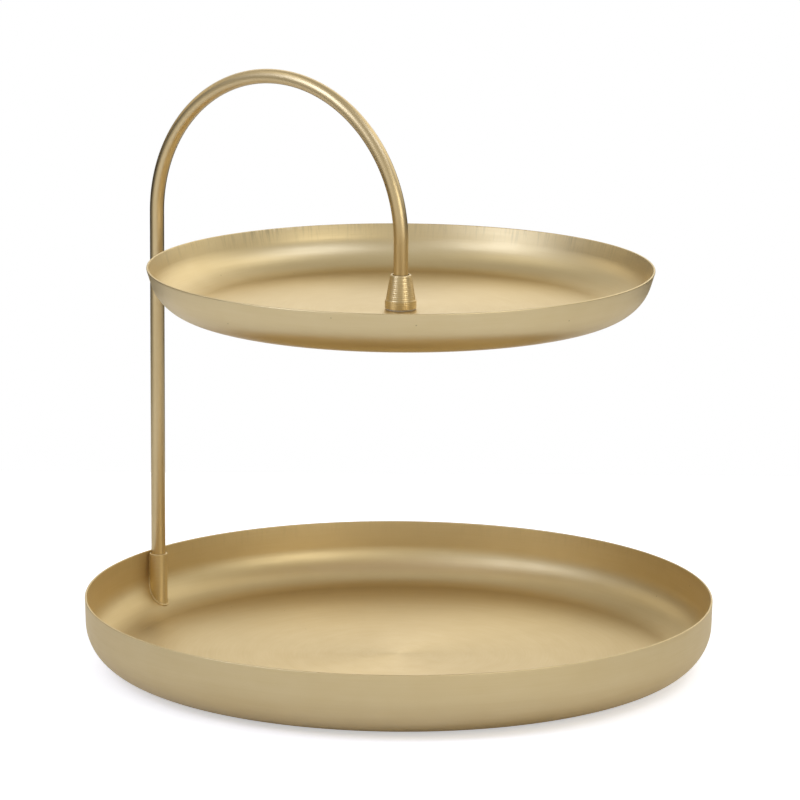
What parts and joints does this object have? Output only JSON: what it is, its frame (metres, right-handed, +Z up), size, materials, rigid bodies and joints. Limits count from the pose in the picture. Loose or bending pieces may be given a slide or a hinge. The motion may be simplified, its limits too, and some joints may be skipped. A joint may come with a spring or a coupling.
{
  "type": "tiered cake stand",
  "caption": "Round deep-walled serving trays stacked on one bent tube handle that rises from a wall sleeve and is screwed to the upper tray through a conical ferrule.",
  "frame": {"origin": "on the table, under the centre of the lower tray", "axes": "+Z up along the common axis of the trays; the handle's arch lies in the XZ plane with its wall sleeve on the -X side"},
  "size_m": [0.3, 0.3, 0.279],
  "materials": {
    "tray_brass": "pale champagne, satin brushed and lacquered",
    "tube_brass": "pale champagne, satin, polished along the bend",
    "turned_brass": "fine turned",
    "fastener_steel": "zinc plated",
    "black_rubber": "matte",
    "black_nylon": "moulded",
    "clear_nylon": "moulded, natural colour"
  },
  "bodies": {
    "base": {"lower_tray": "tray_brass", "foot_pad_1": "black_rubber", "foot_pad_2": "black_rubber", "foot_pad_3": "black_rubber", "foot_pad_4": "black_rubber", "wall_sleeve": "turned_brass"},
    "plug": {"end_plug": "black_nylon"},
    "handle": {"handle_tube": "tube_brass", "thread_insert": "fastener_steel", "ferrule": "turned_brass", "top_washer": "clear_nylon", "soft_washer": "black_rubber", "flat_washer": "fastener_steel", "spring_washer": "fastener_steel", "clamp_screw": "fastener_steel"},
    "upper": {"upper_tray": "tray_brass"}
  },
  "joints": [
    {"name": "handle_lift", "type": "slide", "parent": "base", "child": "plug", "axis": [0, 0, 1], "range_m": [0, 0.02]},
    {"name": "handle_turn", "type": "hinge", "parent": "plug", "child": "handle", "pos_m": [-0.14482, 0, 0.025], "axis": [0, 0, 1], "continuous": true},
    {"name": "tray_spin", "type": "hinge", "parent": "handle", "child": "upper", "pos_m": [0, 0, 0.1705], "axis": [0, 0, 1], "continuous": true}
  ]
}
